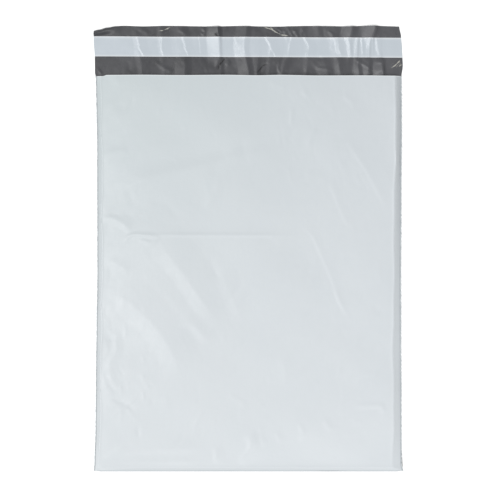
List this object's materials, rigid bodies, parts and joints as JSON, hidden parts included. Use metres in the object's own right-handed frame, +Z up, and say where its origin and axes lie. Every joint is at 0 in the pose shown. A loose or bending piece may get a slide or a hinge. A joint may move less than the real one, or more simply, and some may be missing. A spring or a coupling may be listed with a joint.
{
  "type": "poly mailer bag",
  "caption": "Flat self-seal shipping bag of thin plastic film, folded at the bottom and welded at the sides, with a flap that carries an adhesive strip under a release liner.",
  "frame": {"origin": "middle of the footprint, on the surface that the back panel lies on", "axes": "+Z up from that surface, through the front panel; +Y from the bottom fold to the flap; +X across the bag"},
  "size_m": [0.2566, 0.3704, 0.0057],
  "materials": {
    "bag_film": "satin white film outside, dark grey film inside",
    "adhesive": "tacky, pale amber",
    "liner": "smooth release film"
  },
  "bodies": {
    "root": {"film_bag": "bag_film", "adhesive_strip": "adhesive", "release_liner": "liner"}
  },
  "joints": []
}
